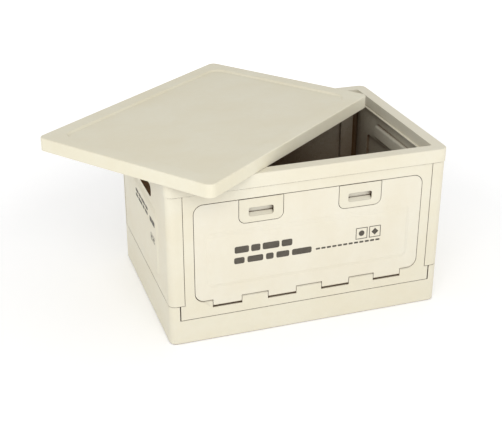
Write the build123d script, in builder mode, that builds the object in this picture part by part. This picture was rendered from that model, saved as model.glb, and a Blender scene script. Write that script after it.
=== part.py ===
"""Collapsible storage crate with a lift-off rim, a loose lid and a drop-down front door.

Millimetres, +Z up.  X runs along the long front, the front faces -Y.
The origin is the middle of the crate's footprint, on the ground.
"""
import os

from build123d import *

os.makedirs("parts", exist_ok=True)

# ---- Driving dimensions ------------------------------------------------------------------
crate_length = 520.0         # over the rim, along X
crate_width = 370.0          # over the rim, along Y
crate_height = 310.0         # ground to the rim's top face
rim_height = 25.0            # rim's outer face, top to bottom
rim_band = 22.7              # width of the rim's top face
rim_proud = 1.5              # rim stands out from the posts and the tray
post_leg = 27.0              # corner post's width on the front and back
post_return = 18.0           # corner post's width on the short sides
low_rim = 46.5               # tray height under the front and back walls
high_rim = 75.5              # tray height at the corners and short sides
tray_corner = 18.0           # tray corner's width on the front and back
corner_radius = 13.0         # upright corners of tray and posts
wall_depth = 12.0            # all four walls, outer face to inner face
field_rise = 2.4             # raised fields on the door and the short walls
field_taper = 71.5           # and the slope of their soft edges, in degrees
door_width = 424.0
door_bottom = 80.0
door_top = 264.8
door_pitch = 102.4           # spacing of the door's four knuckles
knuckle_width = 52.4
latch_offset = 92.0          # latch centres, either side of the middle
latch_width = 80.0
lid_yaw = 37.8               # the lid lies askew on the rim
lid_centre = (-110.0, 48.5)

# ---- Thicknesses, gaps and hinge lines ----------------------------------------------------
shell = 2.0                  # tray sides and corner posts
slide_gap = 0.35             # between a wall's face and the posts round it
seam_gap = 0.4               # between pieces that meet edge to edge
reveal = 1.0                 # wider seams that show as lines on the front and the posts
rod_radius = 1.5
rod_seat = rod_radius + 0.02     # bore that holds a rod
rod_run = rod_radius + 0.05      # bore that turns on a rod
hub_radius = 5.5
lug_radius = 5.2
lug_depth = 3.0
arm_width = 24.0
floor_depth = 3.0

side_x = crate_length / 2 - rim_proud
face_y = crate_width / 2 - rim_proud
panel_x = side_x - shell - slide_gap
panel_y = face_y - shell - slide_gap
inner_x = panel_x - wall_depth
inner_y = panel_y - wall_depth
front_y = face_y - 0.3       # front wall's plate and door, all but flush with the posts
plate_x = side_x - 0.3       # short walls' outer plate, likewise
rim_bottom = crate_height - rim_height
wall_top = rim_bottom + 1.0
ledge_under = wall_top + 1.2

front_hinge_z = 24.0         # front wall folds down first, then the back wall on top of it
back_hinge_z = 41.0
short_hinge_z = 58.0
short_hinge_x = panel_x - 16.2
long_arms = (-160.0, 0.0, 160.0)
short_arms = (-80.0, 0.0, 80.0)

long_half = 233.0            # front and back walls, half length above the tray
ear_half = 238.5             # and between the tray's corners
short_half = inner_y - 0.5   # short walls pass between the long ones

door_hinge_z = 72.0
door_hinge_in = 5.8          # hinge line behind the door's front face
knuckles = [door_pitch * n for n in (-1.5, -0.5, 0.5, 1.5)]
latch_hinge_z = 256.0
latch_hinge_in = 5.2
latch_bottom = 220.2
latch_top = 264.3
latches = {"left": -latch_offset, "right": latch_offset}

UP = Vector(0, 0, 1)


# ---- Shared shapes ------------------------------------------------------------------------
def block(x, y, z, mode=Mode.ADD):
    """Add or cut a block given as (low, high) along each axis."""
    with Locations(((x[0] + x[1]) / 2, (y[0] + y[1]) / 2, (z[0] + z[1]) / 2)):
        Box(abs(x[1] - x[0]), abs(y[1] - y[0]), abs(z[1] - z[0]), mode=mode)


def cross_plane(origin, outward):
    """Upright plane at a hinge: sketch x points outward, sketch y points up."""
    return Plane(origin=origin, x_dir=outward, z_dir=Vector(*outward).cross(UP))


def face_plane(x, y, z, outward):
    """Upright plane on a wall: sketch x runs along the wall, sketch y up, normal outward."""
    return Plane(origin=(x, y, z), x_dir=UP.cross(Vector(*outward)), z_dir=outward)


def round_bar(start, end, radius, mode=Mode.ADD):
    """Cylinder between two points."""
    along = Vector(*end) - Vector(*start)
    with BuildSketch(Plane(origin=start, z_dir=along)) as section:
        Circle(radius)
    extrude(section.sketch, amount=along.length, dir=along, mode=mode)


def lugs(origin, outward, reach):
    """Pair of upright lugs standing on the floor, one each side of a wall's arm."""
    drop = origin[2] - floor_depth / 2
    along = Vector(*outward).cross(UP)
    for side in (-1, 1):
        middle = side * (arm_width / 2 + seam_gap + lug_depth / 2)
        with BuildSketch(cross_plane(Vector(*origin) + along * middle, outward)) as profile:
            Circle(lug_radius)
            with Locations(((reach - lug_radius) / 2, -drop / 2)):
                Rectangle(reach + lug_radius, drop)
        extrude(profile.sketch, amount=lug_depth / 2, both=True)


def arm(origin, outward, near, far, rise):
    """Hinge arm: a hub on the hinge line and a strap up to the wall's foot."""
    with BuildSketch(cross_plane(origin, outward)) as profile:
        Circle(hub_radius)
        Polygon((-hub_radius, 0), (near, rise), (far, rise), (far, rise - 6),
                (hub_radius * 0.8, -hub_radius * 0.6), align=None)
    extrude(profile.sketch, amount=arm_width / 2, both=True)


def latch_outline(centre, half, bottom, top, radius):
    """U-shaped latch outline on the wall's face: round lower corners, square top."""
    with Locations((centre, (bottom + top) / 2)):
        Rectangle(2 * half, top - bottom)
    fillet(vertices().group_by(Axis.Y)[0], radius)


# ---- Base tray ----------------------------------------------------------------------------
with BuildPart() as base_tray:
    with BuildSketch():
        RectangleRounded(2 * side_x, 2 * face_y, corner_radius)
    extrude(amount=high_rim)
    with BuildSketch(Plane.XY.offset(floor_depth)):
        RectangleRounded(2 * (side_x - shell), 2 * (face_y - shell), corner_radius - shell)
    extrude(amount=high_rim, mode=Mode.SUBTRACT)
    tray_opening = side_x - tray_corner
    block((-tray_opening, tray_opening), (-crate_width, crate_width), (low_rim, crate_height),
          mode=Mode.SUBTRACT)
    fillet(base_tray.faces().sort_by(Axis.Z)[0].outer_wire().edges(), 1.5)
    for x in (-200, -120, -40, 40, 120, 200):
        block((x - 1, x + 1), (-face_y + 1, face_y - 1), (floor_depth - 1, floor_depth + 2))
    for y in (-120, -40, 40, 120):
        block((-side_x + 1, side_x - 1), (y - 1, y + 1), (floor_depth - 1, floor_depth + 2))
    for x in long_arms:
        lugs((x, -inner_y, front_hinge_z), (0, -1, 0), face_y - shell - inner_y + 0.5)
        lugs((x, inner_y, back_hinge_z), (0, 1, 0), face_y - shell - inner_y + 0.5)
    for y in short_arms:
        for side in (-1, 1):
            lugs((side * short_hinge_x, y, short_hinge_z), (side, 0, 0),
                 side_x - shell - short_hinge_x + 0.5)
    long_rod = long_arms[-1] + arm_width / 2 + seam_gap + lug_depth
    short_rod = short_arms[-1] + arm_width / 2 + seam_gap + lug_depth
    for y, z in ((-inner_y, front_hinge_z), (inner_y, back_hinge_z)):
        round_bar((-long_rod - 1, y, z), (long_rod + 1, y, z), rod_seat, Mode.SUBTRACT)
    for side in (-1, 1):
        x = side * short_hinge_x
        round_bar((x, -short_rod - 1, short_hinge_z), (x, short_rod + 1, short_hinge_z),
                  rod_seat, Mode.SUBTRACT)

# ---- Hinge rods of the four walls ---------------------------------------------------------
with BuildPart() as front_hinge_rod:
    round_bar((-long_rod, -inner_y, front_hinge_z), (long_rod, -inner_y, front_hinge_z),
              rod_radius)

with BuildPart() as back_hinge_rod:
    round_bar((-long_rod, inner_y, back_hinge_z), (long_rod, inner_y, back_hinge_z),
              rod_radius)

with BuildPart() as left_hinge_rod:
    round_bar((-short_hinge_x, -short_rod, short_hinge_z),
              (-short_hinge_x, short_rod, short_hinge_z), rod_radius)

with BuildPart() as right_hinge_rod:
    round_bar((short_hinge_x, -short_rod, short_hinge_z),
              (short_hinge_x, short_rod, short_hinge_z), rod_radius)

# ---- Front wall: a frame round the door ---------------------------------------------------
opening_gap = 1.0
plate_half = side_x - post_leg - reveal
opening_top = door_top + 1.1
opening_radius = 18.0
door_axis_y = -front_y + door_hinge_in
front_face = face_plane(0, -front_y, 0, (0, -1, 0))

with BuildPart() as front_wall_frame:
    block((-long_half, long_half), (-panel_y, -inner_y), (low_rim - 4.5, wall_top))
    block((-ear_half, ear_half), (-panel_y, -inner_y), (low_rim - 4.5, high_rim + seam_gap))
    block((-plate_half, plate_half), (-front_y, -panel_y), (low_rim + reveal, rim_bottom - reveal))
    block((-ear_half, ear_half), (-front_y, -panel_y), (low_rim + reveal, high_rim))
    with BuildSketch(front_face) as opening:
        with Locations((0, (door_bottom - opening_gap + opening_top) / 2)):
            RectangleRounded(door_width + 2 * opening_gap,
                             opening_top - door_bottom + opening_gap, opening_radius)
    extrude(amount=inner_y - front_y, mode=Mode.SUBTRACT)
    # The sill is rolled about the door's hinge line, so the door's foot can turn over it.
    with BuildSketch(face_plane(0, door_axis_y, 0, (0, -1, 0))):
        with Locations((0, (door_bottom - opening_gap + opening_top) / 2)):
            RectangleRounded(door_width + 2 * opening_gap,
                             opening_top - door_bottom + opening_gap, opening_radius)
        with Locations((0, door_bottom + 12)):
            Rectangle(crate_length, 40, mode=Mode.INTERSECT)
    revolve(axis=Axis((0, door_axis_y, door_hinge_z), (1, 0, 0)), revolution_arc=60,
            mode=Mode.SUBTRACT)
    for x in knuckles:
        half = knuckle_width / 2 + reveal
        block((x - half, x + half), (-front_y - 1, -inner_y + 1), (door_hinge_z - 8, door_bottom),
              mode=Mode.SUBTRACT)
    for x in latches.values():
        block((x - 14, x + 14), (-front_y + 3.2, -inner_y + 1), (opening_top - 1, opening_top + 4),
              mode=Mode.SUBTRACT)
    for x in long_arms:
        arm((x, -inner_y, front_hinge_z), (0, -1, 0), 0, wall_depth - 0.3, 20)
    round_bar((-long_rod - 1, -inner_y, front_hinge_z), (long_rod + 1, -inner_y, front_hinge_z),
              rod_run, Mode.SUBTRACT)
    door_rod = knuckles[-1] + knuckle_width / 2 + 10
    round_bar((-door_rod, door_axis_y, door_hinge_z), (door_rod, door_axis_y, door_hinge_z),
              rod_seat, Mode.SUBTRACT)

with BuildPart() as door_hinge_rod:
    round_bar((-door_rod + 0.5, door_axis_y, door_hinge_z),
              (door_rod - 0.5, door_axis_y, door_hinge_z), rod_radius)

# ---- Back wall: plain panel with a thick border, recessed inside --------------------------
with BuildPart() as back_wall:
    block((-long_half, long_half), (inner_y, panel_y), (low_rim + seam_gap, wall_top))
    block((-ear_half, ear_half), (inner_y, panel_y), (low_rim + seam_gap, high_rim + seam_gap))
    block((-ear_half, ear_half), (panel_y - 2.5, panel_y), (low_rim - 3, low_rim + 1))
    with BuildSketch(face_plane(0, inner_y, 0, (0, -1, 0))):
        with Locations((0, (84 + 262) / 2)):
            RectangleRounded(2 * 207, 262 - 84, 8)
    extrude(amount=-8, mode=Mode.SUBTRACT)
    with BuildSketch(face_plane(0, panel_y, 0, (0, 1, 0))):
        with Locations((0, (104 + 250) / 2)):
            RectangleRounded(2 * 191, 250 - 104, 12)
    extrude(amount=-1.2, mode=Mode.SUBTRACT)
    for x in long_arms:
        arm((x, inner_y, back_hinge_z), (0, 1, 0), 0, wall_depth - 0.3, 8)
    round_bar((-long_rod - 1, inner_y, back_hinge_z), (long_rod + 1, inner_y, back_hinge_z),
              rod_run, Mode.SUBTRACT)

# ---- Short walls: moulded hand-hold near the top ------------------------------------------
hold_half = 72.0             # hand-hold's half length
hold_low = 238.0
hold_high = 262.0
hold_depth = 16.0
hold_skin = 2.5


def short_wall(side):
    """Solid for one short wall; side is -1 on the left and 1 on the right."""
    outward = (side, 0, 0)
    hold_z = (hold_low + hold_high) / 2
    with BuildPart() as wall:
        block((side * inner_x, side * panel_x), (-short_half, short_half),
              (high_rim - 5.5, wall_top))
        plate_end = face_y - post_return - reveal
        block((side * panel_x, side * plate_x), (-plate_end, plate_end),
              (high_rim + reveal, rim_bottom - reveal))
        with BuildSketch(face_plane(side * inner_x, 0, 0, outward)):
            with Locations((0, (92 + 228) / 2)):
                RectangleRounded(2 * 120, 228 - 92, 10)
        extrude(amount=5, mode=Mode.SUBTRACT)
        bulge_out = hold_depth + hold_skin
        with BuildSketch(face_plane(side * (panel_x - bulge_out), 0, 0, outward)):
            with Locations((0, hold_z)):
                RectangleRounded(2 * (hold_half + hold_skin + 6), 24 + 2 * hold_skin, 13)
        extrude(amount=bulge_out - 3)
        inner_face = wall.faces().sort_by(Axis((0, 0, 0), (-side, 0, 0)))[-1]
        fillet(inner_face.outer_wire().edges(), 5)
        outer_plate = face_plane(side * plate_x, 0, 0, outward)
        with BuildSketch(outer_plate):
            with Locations((0, hold_z)):
                RectangleRounded(2 * hold_half, hold_high - hold_low, 10)
        extrude(amount=panel_x - plate_x - hold_depth, mode=Mode.SUBTRACT)
        with BuildSketch(outer_plate):
            with Locations((0, (102 + 228) / 2)):
                RectangleRounded(2 * 116, 228 - 102, 18)
        extrude(amount=field_rise, taper=field_taper)
        for y in short_arms:
            arm((side * short_hinge_x, y, short_hinge_z), outward,
                inner_x - short_hinge_x, 15.9, 14)
        x = side * short_hinge_x
        round_bar((x, -short_rod - 1, short_hinge_z), (x, short_rod + 1, short_hinge_z),
                  rod_run, Mode.SUBTRACT)
    return wall.part


left_wall = short_wall(-1)
right_wall = short_wall(1)

# ---- Front door ---------------------------------------------------------------------------
door_depth = 9.0
door_skin = 2.6
latch_side = latch_width / 2 + opening_gap
housing_depth = 9.4

with BuildPart() as front_door:
    with BuildSketch(front_face) as door_outline:
        with Locations((0, (door_bottom + door_top) / 2)):
            RectangleRounded(door_width, door_top - door_bottom, 17)
    extrude(amount=-door_skin)
    with BuildSketch(front_face):
        with Locations((0, (door_bottom + door_top) / 2)):
            RectangleRounded(door_width, door_top - door_bottom, 17)
            RectangleRounded(door_width - 4.8, door_top - door_bottom - 4.8, 14.6,
                             mode=Mode.SUBTRACT)
    extrude(amount=-door_depth)
    # Raised field on the lower part, with soft sloping edges.
    with BuildSketch(front_face):
        with Locations((0, (104 + 209) / 2)):
            RectangleRounded(2 * 191, 209 - 104, 12)
    extrude(amount=field_rise, taper=field_taper)
    for x in (-180, -135, -45, 0, 45, 135, 180):
        block((x - 1, x + 1), (-front_y + 1, -front_y + 7), (door_bottom + 1, 212))
    for z in (120, 165, 212):
        block((-door_width / 2 + 1, door_width / 2 - 1), (-front_y + 1, -front_y + 7),
              (z - 1, z + 1))
    for x in latches.values():
        with BuildSketch(front_face):
            latch_outline(x, latch_side + 3, latch_bottom - 3.6, door_top, 15)
        extrude(amount=-housing_depth - 1.2)
        with BuildSketch(front_face.offset(1)):
            latch_outline(x, latch_side, latch_bottom - opening_gap, door_top + 1, 13)
        extrude(amount=-housing_depth - 1, mode=Mode.SUBTRACT)
        block((x - latch_side, x + latch_side), (-front_y + housing_depth - 1, -inner_y),
              (latch_hinge_z + 1, door_top + 1), mode=Mode.SUBTRACT)
        y = -front_y + latch_hinge_in
        round_bar((x - latch_side - 2.6, y, latch_hinge_z), (x + latch_side + 2.6, y, latch_hinge_z),
                  rod_seat, Mode.SUBTRACT)
    for x in knuckles:
        with BuildSketch(cross_plane((x, door_axis_y, door_hinge_z), (0, -1, 0))):
            Circle(6.5)
            Rectangle(2 * door_hinge_in, 14, mode=Mode.INTERSECT)
            with Locations(((2 * door_hinge_in - door_depth) / 2, 5)):
                Rectangle(door_depth, 10)
        extrude(amount=knuckle_width / 2, both=True)
    round_bar((-door_rod, door_axis_y, door_hinge_z), (door_rod, door_axis_y, door_hinge_z),
              rod_run, Mode.SUBTRACT)

# ---- Latches, with their pins and springs -------------------------------------------------
latch_plate = 2.4
latch_axis_y = -front_y + latch_hinge_in
grip_z = 239.4               # middle of the finger opening


def latch_flap(centre):
    """Latch flap with a finger opening, two hinge barrels and a nose at the top."""
    with BuildPart() as flap:
        with BuildSketch(front_face):
            latch_outline(centre, latch_width / 2, latch_bottom, latch_top, 12)
            with Locations((centre, grip_z)):
                RectangleRounded(45, 16.4, 4, mode=Mode.SUBTRACT)
        extrude(amount=-latch_plate)
        for side in (-1, 1):
            middle = centre + side * 21
            with BuildSketch(cross_plane((middle, latch_axis_y, latch_hinge_z), (0, -1, 0))):
                Circle(3)
                with Locations((2, 0)):
                    Rectangle(4, 6)
            extrude(amount=15, both=True)
        block((centre - 13, centre + 13), (-front_y + 1, -front_y + 6), (261, latch_top))
        # Sloping tab behind the opening's lower edge, for the fingertip to pull on.
        with BuildSketch(cross_plane((centre, -front_y, grip_z - 8.2), (0, -1, 0))) as tab:
            Polygon((-0.8, 0), (-6.4, 5.3), (-7.6, 5.3), (-2.2, -2.5), (-0.8, -2.5), align=None)
        extrude(tab.sketch, amount=22, both=True)
        round_bar((centre - 40, latch_axis_y, latch_hinge_z),
                  (centre + 40, latch_axis_y, latch_hinge_z), rod_run, Mode.SUBTRACT)
    return flap.part


def latch_pin(centre):
    """Steel pin through both cheeks of the latch housing."""
    half = latch_side + 2.4
    with BuildPart() as pin:
        round_bar((centre - half, latch_axis_y, latch_hinge_z),
                  (centre + half, latch_axis_y, latch_hinge_z), rod_radius)
    return pin.part


def latch_spring(centre):
    """Torsion spring round the pin, between the latch's barrels."""
    wire = 0.4
    coil = 2.2
    with BuildPart() as spring:
        with BuildLine() as path:
            Helix(pitch=1.0, height=5.0, radius=coil,
                  center=(centre - 2.5, latch_axis_y, latch_hinge_z), direction=(1, 0, 0))
        with BuildSketch(path.line ^ 0):
            Circle(wire)
        sweep(path=path.line, is_frenet=True)
    return spring.part


latch_left = latch_flap(latches["left"])
latch_right = latch_flap(latches["right"])
latch_pin_left = latch_pin(latches["left"])
latch_pin_right = latch_pin(latches["right"])
latch_spring_left = latch_spring(latches["left"])
latch_spring_right = latch_spring(latches["right"])

# ---- Rim and its corner posts -------------------------------------------------------------
rim_skirt = 1.4
rim_plate = 2.5
rim_inner = 2.2
ledge_width = 3.8
ledge_depth = 2.1
rim_radius = corner_radius + rim_proud
mouth_x = crate_length / 2 - rim_band
mouth_y = crate_width / 2 - rim_band

with BuildPart() as rim_frame:
    with BuildSketch(Plane.XY.offset(rim_bottom)):
        RectangleRounded(crate_length, crate_width, rim_radius)
    extrude(amount=rim_height)
    fillet(rim_frame.faces().sort_by(Axis.Z)[-1].outer_wire().edges(), 1.8)
    with BuildSketch(Plane.XY.offset(rim_bottom)):
        RectangleRounded(crate_length - 2 * rim_skirt, crate_width - 2 * rim_skirt,
                         rim_radius - rim_skirt)
        RectangleRounded(2 * (mouth_x + rim_inner), 2 * (mouth_y + rim_inner), 7,
                         mode=Mode.SUBTRACT)
    extrude(amount=rim_height - rim_plate, mode=Mode.SUBTRACT)
    with BuildSketch(Plane.XY.offset(rim_bottom)):
        RectangleRounded(2 * (mouth_x + rim_inner), 2 * (mouth_y + rim_inner), 7)
    extrude(amount=ledge_under - rim_bottom, mode=Mode.SUBTRACT)
    with BuildSketch(Plane.XY.offset(ledge_under + ledge_depth)):
        RectangleRounded(2 * mouth_x, 2 * mouth_y, 5)
    extrude(amount=rim_height, mode=Mode.SUBTRACT)
    with BuildSketch(Plane.XY.offset(ledge_under)):
        RectangleRounded(2 * (mouth_x - ledge_width), 2 * (mouth_y - ledge_width), 4)
    extrude(amount=rim_height, mode=Mode.SUBTRACT)
    fillet(rim_frame.faces().sort_by(Axis.Z)[-1].inner_wires()[0].edges(), 1.0)
    rib_z = (ledge_under, crate_height - rim_plate + 0.5)
    for x in (-210, -150, -90, -30, 30, 90, 150, 210):
        for side in (-1, 1):
            block((x - 1, x + 1),
                  (side * (mouth_y + 1), side * (crate_width / 2 - rim_skirt + 0.5)), rib_z)
    for y in (-140, -84, -28, 28, 84, 140):
        for side in (-1, 1):
            block((side * (mouth_x + 1), side * (crate_length / 2 - rim_skirt + 0.5)),
                  (y - 1, y + 1), rib_z)


def corner_post(side, face):
    """L-shaped post round one upright corner; side is the sign of X, face the sign of Y."""
    with BuildPart() as post:
        with BuildSketch(Plane.XY.offset(high_rim + reveal)):
            RectangleRounded(2 * side_x, 2 * face_y, corner_radius)
            RectangleRounded(2 * (side_x - shell), 2 * (face_y - shell), corner_radius - shell,
                             mode=Mode.SUBTRACT)
            with Locations((side * (side_x - post_leg / 2), face * (face_y - post_return / 2))):
                Rectangle(post_leg, post_return, mode=Mode.INTERSECT)
        extrude(amount=crate_height - 10 - high_rim - reveal)
        with BuildSketch(Plane.XY.offset(rim_bottom - reveal)):
            RectangleRounded(2 * side_x + 2, 2 * face_y + 2, corner_radius + 1)
            RectangleRounded(2 * (side_x - 1.2), 2 * (face_y - 1.2), corner_radius - 1.2,
                             mode=Mode.SUBTRACT)
        extrude(amount=1.5, mode=Mode.SUBTRACT)
    return post.part


post_front_left = corner_post(-1, -1)
post_front_right = corner_post(1, -1)
post_back_left = corner_post(-1, 1)
post_back_right = corner_post(1, 1)

# ---- Lid ----------------------------------------------------------------------------------
lid_gap = 0.5                # lid's skirt to the rim it fits over
lid_skirt = 2.5
lid_height = 24.0
lid_skin = 2.4
lid_recess = 3.5
lid_border = 29.0
lid_radius = 13.5
lid_length = crate_length + 2 * (lid_gap + lid_skirt)
lid_width = crate_width + 2 * (lid_gap + lid_skirt)
lid_base = Plane(origin=(*lid_centre, crate_height + 0.3)).rotated((0, 0, lid_yaw))

with BuildPart() as lid:
    with BuildSketch(lid_base):
        RectangleRounded(lid_length, lid_width, lid_radius)
    extrude(amount=lid_height)
    fillet(lid.faces().sort_by(Axis.Z)[-1].outer_wire().edges(), 2.2)
    with BuildSketch(lid_base):
        RectangleRounded(lid_length - 2 * lid_skirt, lid_width - 2 * lid_skirt,
                         lid_radius - lid_skirt)
    extrude(amount=lid_height - lid_skin, mode=Mode.SUBTRACT)
    with BuildSketch(lid_base.offset(lid_height - lid_recess - lid_skin)):
        RectangleRounded(lid_length - 2 * lid_border + 4, lid_width - 2 * lid_border + 4, 28)
    extrude(amount=lid_recess + 0.5)
    with BuildSketch(lid_base.offset(lid_height)):
        RectangleRounded(lid_length - 2 * lid_border, lid_width - 2 * lid_border, 26)
    extrude(amount=-lid_recess, taper=40, mode=Mode.SUBTRACT)

# ---- Labels and files ---------------------------------------------------------------------
nodes = {
    "base_tray": base_tray.part,
    "front_hinge_rod": front_hinge_rod.part,
    "back_hinge_rod": back_hinge_rod.part,
    "left_hinge_rod": left_hinge_rod.part,
    "right_hinge_rod": right_hinge_rod.part,
    "front_wall_frame": front_wall_frame.part,
    "door_hinge_rod": door_hinge_rod.part,
    "back_wall": back_wall.part,
    "left_wall": left_wall,
    "right_wall": right_wall,
    "front_door": front_door.part,
    "latch_left": latch_left,
    "latch_right": latch_right,
    "latch_pin_left": latch_pin_left,
    "latch_pin_right": latch_pin_right,
    "latch_spring_left": latch_spring_left,
    "latch_spring_right": latch_spring_right,
    "rim_frame": rim_frame.part,
    "post_front_left": post_front_left,
    "post_front_right": post_front_right,
    "post_back_left": post_back_left,
    "post_back_right": post_back_right,
    "lid": lid.part,
}
for name, piece in nodes.items():
    piece.label = name
    export_step(piece, f"parts/{name}.step")
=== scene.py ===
import math

import bmesh
import bpy
from mathutils import Euler, Matrix, Vector


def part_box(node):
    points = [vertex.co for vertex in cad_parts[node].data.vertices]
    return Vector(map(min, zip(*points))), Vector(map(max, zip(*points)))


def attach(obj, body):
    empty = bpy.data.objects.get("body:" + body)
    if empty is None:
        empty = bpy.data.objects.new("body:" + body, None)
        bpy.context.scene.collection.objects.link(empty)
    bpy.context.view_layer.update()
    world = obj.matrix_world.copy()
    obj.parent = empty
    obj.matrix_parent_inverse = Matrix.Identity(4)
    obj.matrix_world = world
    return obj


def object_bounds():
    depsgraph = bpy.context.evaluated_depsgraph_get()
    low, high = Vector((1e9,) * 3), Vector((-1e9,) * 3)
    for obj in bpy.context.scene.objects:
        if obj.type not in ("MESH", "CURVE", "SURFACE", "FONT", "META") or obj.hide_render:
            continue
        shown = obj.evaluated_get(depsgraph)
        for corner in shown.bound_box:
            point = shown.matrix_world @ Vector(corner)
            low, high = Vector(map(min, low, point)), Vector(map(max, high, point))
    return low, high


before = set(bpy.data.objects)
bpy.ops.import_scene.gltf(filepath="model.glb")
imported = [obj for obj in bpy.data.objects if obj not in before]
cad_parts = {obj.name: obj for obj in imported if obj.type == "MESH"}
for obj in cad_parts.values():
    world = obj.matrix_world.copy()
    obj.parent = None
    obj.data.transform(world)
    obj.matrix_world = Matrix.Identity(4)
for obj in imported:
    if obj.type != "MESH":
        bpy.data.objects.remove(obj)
cad_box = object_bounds()
scene = bpy.context.scene


# ---------------------------------------------------------------- materials
def linear(red, green, blue):
    """An sRGB colour, 0 to 255, as the linear RGBA that the shader sockets take."""
    channels = [c / 255 for c in (red, green, blue)]
    return tuple(((c + 0.055) / 1.055) ** 2.4 for c in channels) + (1.0,)


class Graph:
    """A node material under construction, with short calls for the nodes used here."""

    def __init__(self, name):
        self.material = bpy.data.materials.new(name)
        self.material.use_nodes = True
        self.tree = self.material.node_tree
        self.shader = self.tree.nodes["Principled BSDF"]
        self.place = self.add("ShaderNodeTexCoord").outputs["Object"]

    def add(self, kind, **settings):
        node = self.tree.nodes.new(kind)
        for key, value in settings.items():
            setattr(node, key, value)
        return node

    def join(self, source, target):
        self.tree.links.new(source, target)

    def noise(self, scale, detail=2.0, rough=0.5, stretch=None):
        where = self.place
        if stretch:
            mapping = self.add("ShaderNodeMapping")
            mapping.inputs["Scale"].default_value = stretch
            self.join(where, mapping.inputs["Vector"])
            where = mapping.outputs["Vector"]
        node = self.add("ShaderNodeTexNoise")
        node.inputs["Scale"].default_value = scale
        node.inputs["Detail"].default_value = detail
        node.inputs["Roughness"].default_value = rough
        self.join(where, node.inputs["Vector"])
        return node.outputs["Fac"]

    def remap(self, value, low, high, to_low, to_high):
        node = self.add("ShaderNodeMapRange")
        for key, number in (("From Min", low), ("From Max", high),
                            ("To Min", to_low), ("To Max", to_high)):
            node.inputs[key].default_value = number
        self.join(value, node.inputs["Value"])
        return node.outputs["Result"]

    def maths(self, operation, first, second):
        node = self.add("ShaderNodeMath", operation=operation)
        for socket, value in zip(node.inputs, (first, second)):
            if isinstance(value, (int, float)):
                socket.default_value = value
            else:
                self.join(value, socket)
        return node.outputs["Value"]

    def blend(self, factor, first, second):
        """Colour going from first to second as factor goes from 0 to 1."""
        node = self.add("ShaderNodeMix", data_type="RGBA")
        self.join(factor, node.inputs["Factor"])
        colours = [s for s in node.inputs if s.type == "RGBA"]
        for socket, value in zip(colours, (first, second)):
            if isinstance(value, tuple):
                socket.default_value = value
            else:
                self.join(value, socket)
        return [s for s in node.outputs if s.type == "RGBA"][0]

    def edge_mask(self, radius, low=0.004, high=0.12):
        """Near 1 on edges and in corners within radius metres, and 0 on flat faces."""
        soft = self.add("ShaderNodeBevel", samples=4)
        soft.inputs["Radius"].default_value = radius
        sharp = self.add("ShaderNodeNewGeometry").outputs["Normal"]
        dot = self.add("ShaderNodeVectorMath", operation="DOT_PRODUCT")
        self.join(soft.outputs["Normal"], dot.inputs[0])
        self.join(sharp, dot.inputs[1])
        return self.remap(self.maths("SUBTRACT", 1.0, dot.outputs["Value"]), low, high, 0.0, 1.0)

    def painted_shade_mask(self, reach, low, high):
        """Mask for painted shade: near 1 deep inside the crate or in a narrow gap, and 0 where
        the sky is open.
        """
        sky = self.add("ShaderNodeAmbientOcclusion", samples=16)
        sky.inputs["Distance"].default_value = reach
        return self.remap(sky.outputs["AO"], low, high, 1.0, 0.0)

    def bump(self, height, strength, distance, below=None):
        node = self.add("ShaderNodeBump")
        node.inputs["Strength"].default_value = strength
        node.inputs["Distance"].default_value = distance
        self.join(height, node.inputs["Height"])
        if below is not None:
            self.join(below, node.inputs["Normal"])
        return node.outputs["Normal"]


# Painted shade: the dark brown that the ivory plastic's colour is turned towards where little
# open sky reaches it, deep in the crate and in narrow gaps.
PAINTED_SHADE = linear(96, 64, 28)
SHADE_REACH = 0.4            # metres within which surfaces close off the sky
WARM_SHIFT = (-4, -7, -12)   # slow colour drift
PALE_SHIFT = (9, 10, 14)     # rubbed edges
EDGE_WEAR_WIDTH = 0.0016
EDGE_ROUNDING = 0.0007
INK_CLOUD = (16, 16, 16)     # where the ink is thinner
INK_PINHOLE = (70, 70, 70)   # where the plastic shows through it


def shifted(colour, shift):
    """The linear colour of an sRGB colour with this much added to its channels."""
    return linear(*(min(c + more, 255) for c, more in zip(colour, shift)))


def moulded_plastic(name, colour, roughness, flow):
    """Moulded plastic: fine spark-eroded grain, slow colour drift along flow, rubbed edges, and
    painted shade deep in the crate and in narrow gaps.
    """
    g = Graph(name)
    warm = shifted(colour, WARM_SHIFT)
    drift = g.remap(g.noise(7.0, 3.0, 0.55, flow), 0.38, 0.66, 0.0, 0.6)
    mottle = g.remap(g.noise(95.0, 4.0, 0.6), 0.35, 0.7, 0.0, 0.28)
    grain = g.noise(1500.0, 3.0, 0.65)
    scuff = g.remap(g.noise(260.0, 5.0, 0.7, (1.0, 1.0, 0.35)), 0.46, 0.68, 0.15, 1.0)
    edge = g.maths("MULTIPLY", g.edge_mask(EDGE_WEAR_WIDTH), scuff)
    tone = g.blend(drift, linear(*colour), warm)
    tone = g.blend(mottle, tone, warm)
    tone = g.blend(g.maths("MULTIPLY", edge, 0.55), tone, shifted(colour, PALE_SHIFT))
    # Painted shade: the colour turns dark brown where ambient occlusion finds the sky closed off,
    # inside the crate and in gaps.
    tone = g.blend(g.painted_shade_mask(SHADE_REACH, 0.16, 0.42), tone, PAINTED_SHADE)
    g.join(tone, g.shader.inputs["Base Color"])
    gloss = g.remap(grain, 0.3, 0.7, roughness - 0.05, roughness + 0.07)
    gloss = g.maths("SUBTRACT", gloss, g.maths("MULTIPLY", edge, 0.12))
    g.join(gloss, g.shader.inputs["Roughness"])
    waves = g.noise(34.0, 2.0, 0.5, flow)
    rounded = g.add("ShaderNodeBevel", samples=4)
    rounded.inputs["Radius"].default_value = EDGE_ROUNDING
    flow_marks = g.bump(waves, 0.06, 0.0012, rounded.outputs["Normal"])
    g.join(g.bump(grain, 0.22, 0.00022, flow_marks), g.shader.inputs["Normal"])
    g.shader.inputs["IOR"].default_value = 1.46
    g.shader.inputs["Specular IOR Level"].default_value = 0.4
    return g.material


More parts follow.
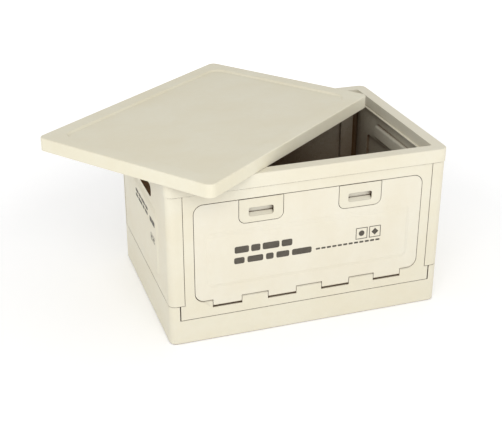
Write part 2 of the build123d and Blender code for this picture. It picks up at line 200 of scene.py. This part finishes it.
def drawn_steel(name):
    """Bright drawn wire and rod: fine lines along the drawing direction, duller where handled."""
    g = Graph(name)
    lines = g.noise(420.0, 4.0, 0.7, (0.05, 1.0, 1.0))
    stain = g.remap(g.noise(60.0, 3.0, 0.6), 0.45, 0.75, 0.0, 0.5)
    bright = g.blend(g.remap(lines, 0.3, 0.7, 0.0, 1.0),
                     linear(176, 178, 182), linear(205, 206, 208))
    g.join(g.blend(stain, bright, linear(140, 136, 130)), g.shader.inputs["Base Color"])
    g.shader.inputs["Metallic"].default_value = 1.0
    g.join(g.remap(lines, 0.3, 0.7, 0.24, 0.42), g.shader.inputs["Roughness"])
    g.join(g.bump(lines, 0.15, 0.0001), g.shader.inputs["Normal"])
    return g.material


def screen_ink(name, colour):
    """Screen-printed ink: nearly even, with faint pinholes and a slightly rough film."""
    g = Graph(name)
    pinholes = g.remap(g.noise(900.0, 3.0, 0.7), 0.62, 0.8, 0.0, 0.5)
    cloud = g.remap(g.noise(120.0, 3.0, 0.5), 0.35, 0.7, 0.0, 0.5)
    tone = g.blend(cloud, linear(*colour), shifted(colour, INK_CLOUD))
    tone = g.blend(pinholes, tone, shifted(colour, INK_PINHOLE))
    g.join(tone, g.shader.inputs["Base Color"])
    g.join(g.remap(g.noise(1500.0), 0.3, 0.7, 0.5, 0.66), g.shader.inputs["Roughness"])
    g.join(g.bump(g.noise(1500.0, 3.0), 0.12, 0.00008), g.shader.inputs["Normal"])
    return g.material


body_plastic = moulded_plastic("ivory_body", (220, 215, 197), 0.5, (1.0, 1.0, 1.6))
door_plastic = moulded_plastic("ivory_door", (221, 216, 200), 0.48, (1.6, 1.0, 1.0))
lid_plastic = moulded_plastic("ivory_lid", (220, 215, 195), 0.52, (1.0, 1.6, 1.0))
latch_plastic = moulded_plastic("ivory_latch", (218, 213, 195), 0.42, (1.0, 1.0, 1.0))
steel = drawn_steel("drawn_steel")
ink = screen_ink("print_ink", (72, 66, 56))

FINISH = {"lid": lid_plastic, "front_door": door_plastic,
          "latch_left": latch_plastic, "latch_right": latch_plastic}
for name, cad_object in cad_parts.items():
    is_steel = name.endswith("_rod") or name.startswith(("latch_pin", "latch_spring"))
    material = steel if is_steel else FINISH.get(name, body_plastic)
    cad_object.data.materials.clear()
    cad_object.data.materials.append(material)


# ---------------------------------------------------------------- printed marks
def rounded_outline(width, height, radius, steps=6):
    """Corner points of a rounded rectangle centred on 0, 0."""
    points = []
    for quarter, (sx, sy) in enumerate(((1, 1), (-1, 1), (-1, -1), (1, -1))):
        for k in range(steps + 1):
            angle = math.radians(90 * quarter + 90 * k / steps)
            points.append((sx * (width / 2 - radius) + radius * math.cos(angle),
                           sy * (height / 2 - radius) + radius * math.sin(angle)))
    return points


def film(mesh, outline, centre, across, up, out, thickness):
    """Adds a thin closed plate with this outline, its top thickness above its base."""
    rings = []
    for height in (0.0, thickness):
        rings.append([mesh.verts.new(centre + across * u + up * v + out * height)
                      for u, v in outline])
    count = len(outline)
    mesh.faces.new(list(reversed(rings[0])))
    mesh.faces.new(rings[1])
    for k in range(count):
        following = (k + 1) % count
        mesh.faces.new((rings[0][k], rings[0][following], rings[1][following], rings[1][k]))


def framed_square(mesh, size, line, centre, across, up, out, thickness):
    """Adds a square outline, mitred at its corners, as a closed film."""
    loops = []
    for height in (0.0, thickness):
        for half in (size / 2, size / 2 - line):
            loops.append([mesh.verts.new(centre + across * (half * a) + up * (half * b)
                                         + out * height)
                          for a, b in ((1, 1), (-1, 1), (-1, -1), (1, -1))])
    outer_low, inner_low, outer_top, inner_top = loops
    for k in range(4):
        n = (k + 1) % 4
        mesh.faces.new((outer_top[k], outer_top[n], inner_top[n], inner_top[k]))
        mesh.faces.new((outer_low[n], outer_low[k], inner_low[k], inner_low[n]))
        mesh.faces.new((outer_low[k], outer_low[n], outer_top[n], outer_top[k]))
        mesh.faces.new((inner_low[n], inner_low[k], inner_top[k], inner_top[n]))


def print_piece(name, body, build):
    """Makes one printed mark from the bmesh that build fills, riding on a CAD body."""
    mesh = bmesh.new()
    build(mesh)
    bmesh.ops.recalc_face_normals(mesh, faces=mesh.faces)
    data = bpy.data.meshes.new(name)
    mesh.to_mesh(data)
    mesh.free()
    data.materials.append(ink)
    piece = bpy.data.objects.new(name, data)
    scene.collection.objects.link(piece)
    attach(piece, body)


INK_FILM = 0.00012           # thickness of the ink
INK_GAP = 0.00002            # between the ink and the plastic under it
UP = Vector((0, 0, 1))
door_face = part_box("front_door")[0].y - INK_GAP
left_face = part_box("left_wall")[0].x - INK_GAP
# Each printed side: a point on its face, and the ways along it, up it and out of it.
FRONT_SIDE = (Vector((0, door_face, 0)), Vector((1, 0, 0)), UP, Vector((0, -1, 0)))
LEFT_SIDE = (Vector((left_face, 0, 0)), Vector((0, -1, 0)), UP, Vector((-1, 0, 0)))


def bars(side, start, widths, gap, low, high, corner):
    """A row of rounded bars of these widths, from start along the wall, low to high up it."""
    origin, across, up, out = side

    def build(mesh):
        left = start
        for width in widths:
            outline = rounded_outline(width, high - low, corner)
            centre = origin + across * (left + width / 2) + up * ((low + high) / 2)
            film(mesh, outline, centre, across, up, out, INK_FILM)
            left += width + gap
    return build


def icon(side, along, height, size, line, shape):
    """A framed square with a plain shape in it."""
    origin, across, up, out = side

    def build(mesh):
        centre = origin + across * along + up * height
        framed_square(mesh, size, line, centre, across, up, out, INK_FILM)
        film(mesh, shape, centre, across, up, out, INK_FILM)
    return build


def disc(radius):
    return rounded_outline(2 * radius, 2 * radius, radius)


def diamond(reach):
    return [(reach, 0.0), (0.0, reach), (-reach, 0.0), (0.0, -reach)]


# Places along a side count from its middle, and heights from the ground, in metres.
DOOR_BAR_CORNER = 0.0032
DOOR_ICON = {"height": 0.167, "size": 0.0225, "line": 0.0013}
SIDE_BAR = {"gap": 0.004, "corner": 0.002}
SIDE_ICON = {"height": 0.164, "size": 0.0130, "line": 0.0011}

FRONT_MARKS = {
    "print_door_upper": bars(FRONT_SIDE, start=-0.141, widths=(0.026, 0.017, 0.031, 0.020),
                             gap=0.004, low=0.1650, high=0.1780, corner=DOOR_BAR_CORNER),
    "print_door_lower": bars(FRONT_SIDE, start=-0.142, widths=(0.019, 0.029, 0.014, 0.024, 0.037),
                             gap=0.0052, low=0.1445, high=0.1565, corner=DOOR_BAR_CORNER),
    "print_door_dashes": bars(FRONT_SIDE, start=0.010, widths=(0.008,) * 12,
                              gap=0.0025, low=0.1480, high=0.1515, corner=0.0012),
    "print_door_disc": icon(FRONT_SIDE, 0.0975, shape=disc(0.0055), **DOOR_ICON),
    "print_door_diamond": icon(FRONT_SIDE, 0.1235, shape=diamond(0.0068), **DOOR_ICON)}
LEFT_MARKS = {
    "print_side_upper": bars(LEFT_SIDE, start=-0.046, widths=(0.022, 0.016, 0.028, 0.018),
                             low=0.2035, high=0.2095, **SIDE_BAR),
    "print_side_lower": bars(LEFT_SIDE, start=-0.046, widths=(0.018, 0.030, 0.013, 0.021),
                             low=0.1935, high=0.1995, **SIDE_BAR),
    "print_side_block": bars(LEFT_SIDE, start=0.064, widths=(0.016, 0.018),
                             gap=0.002, low=0.1925, high=0.2020, corner=0.002),
    "print_side_disc": icon(LEFT_SIDE, 0.0735, shape=disc(0.0032), **SIDE_ICON),
    "print_side_diamond": icon(LEFT_SIDE, 0.0895, shape=diamond(0.0040), **SIDE_ICON)}
for body, marks in (("front_door", FRONT_MARKS), ("left_wall", LEFT_MARKS)):
    for name, build in marks.items():
        print_piece(name, body, build)

# ---------------------------------------------------------------- floor, light, camera
WHITE = (1.0, 1.0, 1.0, 1.0)
FLOOR_REACH = 9.0            # from the middle to each side, in metres
FLOOR_GAP = 0.0002           # between the floor and the tray
GLOW_START, GLOW_END = 0.6, 2.2      # metres from the middle where the paper's glow grows
GLOW_NEAR, GLOW_FAR = 0.1, 0.62      # its strength nearer than that and farther
FADE_START, FADE_END = 0.2, 0.45     # sines of the elevations where the sky's strength falls
SKY_LOW, SKY_HIGH = 1.0, 0.75        # its strength below that and above

floor_level = cad_box[0].z - FLOOR_GAP
floor_mesh = bpy.data.meshes.new("studio_floor")
floor_mesh.from_pydata([(x * FLOOR_REACH, y * FLOOR_REACH, floor_level)
                        for x, y in ((-1, -1), (1, -1), (1, 1), (-1, 1))],
                       [], [(0, 1, 2, 3)])
floor = bpy.data.objects.new("studio_floor", floor_mesh)
scene.collection.objects.link(floor)
paper = Graph("studio_paper")
paper.join(paper.blend(paper.noise(3.0, 3.0), linear(252, 252, 252), linear(255, 255, 255)),
           paper.shader.inputs["Base Color"])
paper.shader.inputs["Roughness"].default_value = 0.9
paper.shader.inputs["Specular IOR Level"].default_value = 0.1
paper.shader.inputs["Emission Color"].default_value = WHITE
distance = paper.add("ShaderNodeVectorMath", operation="LENGTH")
paper.join(paper.place, distance.inputs[0])
glow = paper.remap(distance.outputs["Value"], GLOW_START, GLOW_END, GLOW_NEAR, GLOW_FAR)
paper.join(glow, paper.shader.inputs["Emission Strength"])
floor_mesh.materials.append(paper.material)

world = bpy.data.worlds.new("studio")
world.use_nodes = True
sky = world.node_tree
background = sky.nodes["Background"]
background.inputs["Color"].default_value = WHITE
# White at the horizon, where it meets the floor, and a little darker overhead.
direction = sky.nodes.new("ShaderNodeTexCoord")
steepness = sky.nodes.new("ShaderNodeSeparateXYZ")
fade = sky.nodes.new("ShaderNodeMapRange")
for key, number in (("From Min", FADE_START), ("From Max", FADE_END),
                    ("To Min", SKY_LOW), ("To Max", SKY_HIGH)):
    fade.inputs[key].default_value = number
sky.links.new(direction.outputs["Generated"], steepness.inputs["Vector"])
sky.links.new(steepness.outputs["Z"], fade.inputs["Value"])
sky.links.new(fade.outputs["Result"], background.inputs["Strength"])
scene.world = world

# One large softbox in front of the crate, above it and a little to its left.
SOFTBOX_PLACE = Vector((-0.7, -2.2, 1.8))
SOFTBOX_AIM = Vector((0.0, 0.0, 0.18))
SOFTBOX_WIDTH, SOFTBOX_HEIGHT = 2.4, 1.4
SOFTBOX_WATTS = 27

softbox = bpy.data.lights.new("key", "AREA")
softbox.shape = "RECTANGLE"
softbox.size, softbox.size_y = SOFTBOX_WIDTH, SOFTBOX_HEIGHT
softbox.energy = SOFTBOX_WATTS
lamp = bpy.data.objects.new("key", softbox)
scene.collection.objects.link(lamp)
lamp.location = SOFTBOX_PLACE
lamp.rotation_euler = (SOFTBOX_AIM - SOFTBOX_PLACE).to_track_quat("-Z", "Y").to_euler()

# The camera stands where it fits the crate's edges in the photograph.
CAMERA_PLACE = Vector((-0.60221, -1.64347, 0.98107))
CAMERA_TILT, CAMERA_ROLL, CAMERA_HEADING = 64.128, -0.106, -18.553      # degrees
CAMERA_LENS, CAMERA_SENSOR = 72.088, 36.0                               # millimetres

camera_data = bpy.data.cameras.new("camera")
camera_data.sensor_width = CAMERA_SENSOR
camera_data.lens = CAMERA_LENS
camera = bpy.data.objects.new("camera", camera_data)
scene.collection.objects.link(camera)
camera_turn = Euler([math.radians(a) for a in (CAMERA_TILT, CAMERA_ROLL, CAMERA_HEADING)])
camera.matrix_world = Matrix.LocRotScale(CAMERA_PLACE, camera_turn, None)
scene.camera = camera
scene.view_settings.view_transform = "Standard"
